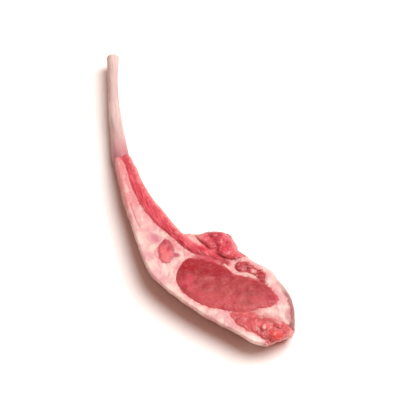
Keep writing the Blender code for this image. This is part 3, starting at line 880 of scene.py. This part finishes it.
def small_round_finish():
    """The small muscle in the fat: coral, with a darker rim towards the strip."""
    f = Finish("small_round_meat")
    base, places = meat_ground(f, "d46068", "dc6a70", "e47474", 4.0)
    base = f.tinted(base, "b4525e", f.uneven("depth", 0.7, 1.8), 1.9, 0.3, 0.8)
    base = f.marks(base, (
        (-6.6, -11.4, 5.0, 2.2, -30, "aa4450", 0.85), (-9.4, -13.0, 2.6, 2.2, 0, "aa4856", 0.8),
        (-1.6, -16.0, 4.0, 2.2, -20, "d07070", 0.6),
    ), f.warped(1.2, 3.0))
    base = f.tinted(base, "d08e90", f.read("depth"), 0.5, 0.0, 0.55)
    grain = f.noise(0.7, 3.0, 0.6, source=places)
    base = f.tinted(base, "ee9a94", grain, 0.56, 0.75, 0.25)
    return f.surface(base, f.patchy(2.0, 0.32, 0.48), ((grain, 0.2),), see_in=0.12, coat=0.08)


def strip_finish():
    """The long muscle on the rib: bright red fibres, dark beside the fat, and pale along the far edge, partly
    membrane and partly painted highlight.
    """
    f = Finish("strip_meat")
    base, places = meat_ground(f, "ca424f", "d4505d", "de626b", 5.0)
    fibres = f.noise(0.9, 4.0, 0.6, stretch=(9.0, 1.0, 2.0), turn=-0.1, source=places)
    # The fibres' tints follow their bumps: partly their own tone, and partly painted shade in the furrows and
    # painted highlight on the ridges.
    base = f.tinted(base, "b02a3a", fibres, 0.5, 0.3, 0.6)
    base = f.tinted(base, "ea8486", fibres, 0.55, 0.75, 0.6)
    # The pale marks near x -8 and -3 lie on the far edge and are partly a painted highlight.
    base = f.marks(base, (
        (-13.6, -9.6, 5.0, 1.8, 20, "b0303e", 0.85), (-6.4, -6.8, 5.0, 1.9, 24, "a82836", 0.95),
        (-0.6, -4.0, 4.0, 2.0, 36, "a22230", 0.95), (3.4, 0.0, 4.0, 2.0, 46, "a62632", 0.9),
        (7.6, 5.0, 4.6, 2.6, 50, "b23a44", 0.9), (11.0, 9.4, 2.6, 2.2, 50, "a23238", 0.8),
        (-8.0, -0.2, 6.8, 2.6, 14, "ecb4ae", 1.0), (-3.2, 1.8, 3.6, 1.8, 20, "e8a49e", 0.95),
        (0.8, 1.4, 3.4, 1.8, 40, "b8303e", 0.8),
    ), f.warped(1.4, 4.0))
    # Pale along the far edge: partly pale membrane and partly a painted highlight where the edge catches the
    # light.
    base = f.tinted(base, "dc9490", f.uneven("to_far", 0.8), 2.8, 0.4, 0.75)
    base = f.tinted(base, "cc686e", f.uneven("depth", 0.4), 0.7, 0.0, 0.4)
    return f.surface(base, f.patchy(2.4, 0.3, 0.48), ((fibres, 0.4),), coat=0.1)


def torn_ground(f, dark, middle, light, bright):
    """Torn meat: painted shade in its folds and painted highlights on its lumps. Also gives the swirled
    places and the shreds.
    """
    base, places = meat_ground(f, dark, middle, light, 3.4)
    shreds = f.noise(1.5, 3.0, 0.6, twist=0.9, source=places)
    # The shreds noise also raises the bumps, so these tints are partly the meat's own tone and partly painted
    # shade in the hollows and painted highlight on the crests.
    base = f.tinted(base, dark, shreds, 0.46, 0.3, 0.6)
    base = f.tinted(base, bright, shreds, 0.54, 0.7, 0.6)
    # Painted shade: darker where the fine relief is low, in the folds.
    base = f.tinted(base, dark, f.read("lift"), -0.1, -0.6, 0.5)
    return base, places, shreds


def clinging(f, base, places, pale, amount, size):
    """The colour with shreds of pale fat and tissue clinging to it."""
    clings = f.noise(size, 4.0, 0.6, twist=0.8, source=places)
    return f.tinted(base, pale, clings, 0.57, 0.68, amount)


def knob_finish():
    """The torn knob past the rib: red lumps below, salmon and pale ones at its outer side."""
    f = Finish("knob_lumps")
    base, places, shreds = torn_ground(f, "ae3040", "cc4c58", "d65a64", "de7076")
    base = f.marks(base, (
        (-3.6, 10.0, 5.6, 4.4, 60, "b83c4c", 0.85), (-6.6, 3.0, 4.6, 2.6, 30, "dc8c88", 0.8),
        (-7.0, 14.0, 3.6, 3.0, 0, "b65460", 0.8), (-1.0, 15.6, 4.2, 3.2, 30, "cc626a", 0.75),
        (5.0, 11.2, 4.8, 3.4, 50, "cc3e4e", 0.8), (9.6, 14.6, 4.0, 2.6, 50, "d0525c", 0.75),
        (1.0, 5.0, 3.4, 1.8, 40, "b83e4a", 0.75), (6.6, 17.6, 4.4, 2.8, 20, "d27678", 0.7),
    ), f.warped(1.4, 4.0))
    base = clinging(f, base, places, "e8a8a4", 0.6, 2.0)
    base = f.tinted(base, "b43c48", f.uneven("depth", 0.4), 0.6, 0.0, 0.4)
    return f.surface(base, f.patchy(1.8, 0.28, 0.45), ((shreds, 0.35),), coat=0.12)


def back_finish():
    """The nuggets along the far edge: red with painted shade in their folds, and with pale tissue between
    them.
    """
    f = Finish("back_nuggets")
    base, places, shreds = torn_ground(f, "962a36", "b0404a", "be4e54", "ce6668")
    base = f.marks(base, (
        (16.8, 15.4, 3.0, 2.4, 40, "b43a46", 0.8), (18.6, 17.8, 2.0, 1.4, 40, "942a36", 0.7),
        (25.0, 22.6, 4.0, 3.0, 30, "a42a32", 0.95), (21.6, 19.6, 2.2, 1.4, 40, "dc9894", 0.9),
    ), f.warped(0.8, 2.5))
    base = clinging(f, base, places, "deaca6", 0.5, 2.4)
    base = f.tinted(base, "dc8c88", f.uneven("depth", 0.3), 0.6, 0.0, 0.6)
    return f.surface(base, f.patchy(1.8, 0.28, 0.45), ((shreds, 0.3),), coat=0.12)


def end_finish():
    """The loin end: cut smooth and pink-red beside the eye, torn and coral at the tip, with pale nubs."""
    f = Finish("end_meat")
    base, places, shreds = torn_ground(f, "b4484c", "ca585c", "d6686a", "e08280")
    base = f.marks(base, (
        (42.6, 3.0, 4.4, 2.6, 30, "bc5058", 0.8), (48.4, 7.2, 5.0, 2.6, 35, "ce565c", 0.7),
        (53.6, 9.6, 4.0, 2.4, 30, "c6545a", 0.7), (58.2, 15.8, 4.4, 3.4, 60, "dc4640", 0.9),
        (52.4, 12.4, 1.9, 1.6, 0, "ecb0a6", 0.95), (52.4, 19.6, 2.4, 1.6, 40, "e4a098", 0.9),
        (61.6, 20.6, 3.6, 2.6, 60, "c46460", 0.7), (56.6, 22.6, 3.6, 2.0, 30, "ca5456", 0.7),
        (47.2, 12.6, 3.0, 1.8, 40, "a8504e", 0.8), (50.4, 16.4, 3.0, 1.8, 45, "a8504c", 0.8),
    ), f.warped(1.2, 3.0))
    low = f.along(places, "Z")
    base = clinging(f, base, places, "eab4ac", 0.55, 2.6)
    # Painted light: the end's walls are lightened from just above the table up to about 9 mm, fading out by
    # 13 mm.
    painted_light_on_wall = f.math("MULTIPLY", f.spread(low, 13.4, 9.0, 0.0, 0.9), f.spread(low, 0.6, 3.0))
    base = f.mix(painted_light_on_wall, base, "e8a098")
    base = f.tinted(base, "d47a78", f.uneven("depth", 0.4), 0.8, 0.0, 0.5)
    return f.surface(base, f.patchy(1.8, 0.3, 0.46), ((shreds, 0.35),), coat=0.1)


def fat_finish():
    """Fat and the tissue between the muscles: pink and cream, stained by the meat it touches, with painted
    shade on its sides and foot and painted light at one corner.
    """
    f = Finish("fat_cover")
    places = f.warped(1.5, 6.0)
    broad = f.noise(7.0, 3.0, 0.5, source=places)
    base = f.mix(f.spread(broad, 0.38, 0.62), "d8a0a2", "e6c8be")
    along, low = f.along(places, "X"), f.along(places, "Z")
    flush = f.math("MULTIPLY", f.spread(along, -12.0, -44.0, 0.0, 0.8), f.spread(low, 5.0, 12.0, 0.4, 1.0))
    base = f.mix(flush, base, "d67c80")
    streaks = f.noise(1.8, 3.0, 0.6, stretch=(5.0, 1, 1), turn=-0.2, source=places)
    base = f.tinted(base, "d88e94", streaks, 0.54, 0.7, 0.6)
    base = f.tinted(base, "ecd6cc", streaks, 0.46, 0.3, 0.6)
    away = f.uneven("depth", 0.8)
    base = f.tinted(base, "dc8e8e", away, 2.4, 0.0, 0.55)
    base = f.tinted(base, "c65e66", away, 0.3, -0.3, 0.85)
    base = f.tinted(base, "cc7476", f.uneven("span", 0.8), 3.2, 1.4, 0.6)
    base = f.marks(base, (
        (-13.2, -16.0, 5.0, 2.8, 15, "c87c8a", 0.85), (5.0, -22.6, 4.0, 4.0, 0, "d8a0a8", 0.7),
        (-0.4, -10.6, 2.8, 1.9, 70, "b4505e", 0.95), (-4.4, -8.6, 5.4, 2.0, 25, "dc8890", 0.85),
        (1.0, -5.4, 4.0, 1.6, 42, "d88c90", 0.7), (8.2, 3.0, 7.4, 3.0, 52, "c84656", 1.0),
        (12.2, 9.0, 4.0, 3.0, 45, "b03c44", 1.0), (28.0, 21.2, 3.4, 2.4, 50, "a83a40", 1.0),
        (16.4, 11.0, 2.6, 1.6, 45, "e0a8a2", 0.8), (42.6, 12.0, 4.0, 2.2, 60, "c67c7a", 0.75),
        (46.6, 15.4, 3.2, 2.0, 50, "cc8a84", 0.75), (50.4, 20.2, 3.2, 2.0, 50, "cc8c84", 0.7),
        (50.6, 25.4, 6.4, 2.8, -22, "b87074", 0.75), (4.4, -1.0, 3.8, 1.9, 50, "c45660", 0.9),
    ), f.warped(1.0, 3.0))
    base = f.tinted(base, "e4b2ac", f.read("membrane"), 0.2, 0.8, 0.9)
    # Painted shade: a dark mauve band along the far edge, from x 24 on, stands for the shaded far wall of the
    # loin end.
    rim = f.spread(f.uneven("to_far", 0.5, 3.0), 2.1, 0.4, 0.0, 0.9)
    base = f.mix(f.math("MULTIPLY", rim, f.spread(along, 24.0, 42.0)), base, "8a4248")
    # Painted shade: the sides and the underside turn darker and browner below the top.
    base = f.tinted(base, "be7268", low, 13.0, 7.0, 0.65)
    # Painted light: a pale mark lightens the fat's wall at the near corner of the loin end.
    base = f.marks(base, ((57.0, 4.8, 7.0, 3.8, 35, "f2d6cc", 0.85),), places)
    # Painted shade: darker brown towards the table, below 4 mm, for the contact shade under the fat edge.
    base = f.tinted(base, "9c6054", low, 4.0, 0.6, 0.5)
    heights = ((f.cells(1.5, source=places), 0.1), (streaks, 0.16))
    return f.surface(base, f.patchy(3.0, 0.38, 0.56), heights, see_in=0.2, coat=0.06)


def bone_finish():
    """Scraped rib: cream, stained lilac-grey, pinker where it enters the meat."""
    f = Finish("rib")
    broad = f.noise(6.0, 3.0, 0.55, stretch=(3.0, 1, 1))
    base = f.mix(f.spread(broad, 0.35, 0.65), "dec4bc", "cdaeaa")
    scrapes = f.noise(0.8, 4.0, 0.6, stretch=(14.0, 1, 1), turn=-0.25)
    base = f.tinted(base, "ecd8ce", scrapes, 0.52, 0.7, 0.5)
    base = f.tinted(base, "a88486", scrapes, 0.46, 0.3, 0.5)
    along = f.along(f.warped(2.0, 5.0), "X")
    base = f.tinted(base, "b86c76", along, -84.0, -62.0, 0.9)
    return f.surface(base, f.patchy(3.0, 0.36, 0.55), ((scrapes, 0.3),), coat=0.05)


FINISHES = {
    "eye_muscle": eye_finish, "small_muscle": small_round_finish, "rib_strip": strip_finish,
    "knob_meat": knob_finish, "back_meat": back_finish, "end_muscle": end_finish,
}

# ---- the chop


def place_piece(name, mesh, node, finish, shift):
    """Puts a finished mesh in the frame, in the place of its node."""
    mesh.materials.clear()
    mesh.materials.append(finish)
    mesh.transform(shift)
    made = add_object(name, mesh)
    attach(made, "root")
    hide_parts(node)


def build_chop():
    """The rib, the fat and the six muscles, the last seven cut from one slab."""
    slab = slab_mesh()
    seat = add_object("seat", loft("seat", rib_rings(SEAT_GAP)))
    cutters = {name: add_object(name + "_cutter", prism_mesh(name, OUTLINES[name])) for name in PIECES}
    shift = Matrix.Translation(plan_shift())

    rib = loft("rib", rib_rings())
    mark(rib)
    place_piece("rib", rib, "rib_bone", bone_finish(), shift)

    fat = cut("fat", slab, [("DIFFERENCE", cutter) for cutter in (seat, *cutters.values())])
    mark(fat)
    place_piece("fat_cover", leaned(fat), "fat", fat_finish(), shift)
    for name, title in PIECES.items():
        steps = [("INTERSECT", cutters[name])]
        steps += [("DIFFERENCE", cutters[other]) for other in ENDS_AT.get(name, ())]
        if name == "rib_strip":
            steps.append(("DIFFERENCE", seat))
        mesh = cut(title, slab, steps)
        mark(mesh, name)
        place_piece(title, leaned(mesh), name, FINISHES[name](), shift)
    for cutter in (seat, *cutters.values()):
        bpy.data.objects.remove(cutter)


# ---- floor, light and camera

VIEW_AZIMUTH = math.radians(67.7)
VIEW_ELEVATION = math.radians(57.0)
LENS = 1500.0
SENSOR = 36.0
FRAME_WIDTH = 0.188  # the picture's width at the chop, in metres
LOOK_AT = plan_shift() + Vector((-24.7, 11.4, 15.0)) * MM
KEY_ELEVATION = 66.0
KEY_TURN = -72.0  # from the far side of the view towards its right
KEY_SPREAD = 46.0
KEY_STRENGTH = 3.75
KEY_COLOUR = (0.96, 1.0, 1.0)
GLOW_STRENGTH = 0.32
GLOW_COLOUR = (1.0, 0.58, 0.46, 1.0)
FLOOR_HALF = 3.0  # in metres
FLOOR_ROUGHNESS = 0.6


def build_camera():
    """A camera at the photograph's angle, far away with a long lens."""
    data = bpy.data.cameras.new("camera")
    data.lens = LENS
    data.sensor_width = SENSOR
    distance = FRAME_WIDTH * LENS / SENSOR
    back = Vector((
        math.sin(VIEW_AZIMUTH) * math.cos(VIEW_ELEVATION),
        -math.cos(VIEW_AZIMUTH) * math.cos(VIEW_ELEVATION),
        math.sin(VIEW_ELEVATION),
    ))
    camera = add_object("camera", data)
    camera.location = LOOK_AT + back * distance
    camera.rotation_euler = back.to_track_quat("Z", "Y").to_euler()
    bpy.context.scene.camera = camera


def build_floor():
    """A plain pale floor."""
    corners = [(x * FLOOR_HALF, y * FLOOR_HALF, 0) for x, y in ((-1, -1), (1, -1), (1, 1), (-1, 1))]
    mesh = bpy.data.meshes.new("floor")
    mesh.from_pydata(corners, [], [(0, 1, 2, 3)])
    floor = add_object("floor", mesh)
    f = Finish("floor")
    tone = f.node("ShaderNodeTexNoise", {"Scale": 40.0, "Detail": 3.0}).outputs[0]
    f.feed(f.shader["Base Color"], f.mix(tone, "f9f3f0", "fcf7f4"))
    f.feed(f.shader["Roughness"], FLOOR_ROUGHNESS)
    mesh.materials.append(f.material)


def build_light():
    """A wide soft light from the right, high up and a little behind, and a faint warm glow from all round."""
    world = bpy.data.worlds.new("studio")
    world.use_nodes = True
    background = world.node_tree.nodes["Background"]
    background.inputs["Color"].default_value = GLOW_COLOUR
    background.inputs["Strength"].default_value = GLOW_STRENGTH
    bpy.context.scene.world = world
    key = bpy.data.lights.new("key", "SUN")
    key.energy = KEY_STRENGTH
    key.color = KEY_COLOUR
    key.angle = math.radians(KEY_SPREAD)
    lamp = add_object("key", key)
    towards = Matrix.Rotation(VIEW_AZIMUTH + math.radians(KEY_TURN), 3, "Z") @ Vector((0, 1, 0))
    high = math.radians(KEY_ELEVATION)
    towards = towards * math.cos(high) + Vector((0, 0, math.sin(high)))
    lamp.rotation_euler = towards.to_track_quat("Z", "Y").to_euler()
    bpy.context.scene.view_settings.view_transform = "Standard"


build_chop()
build_floor()
build_light()
build_camera()
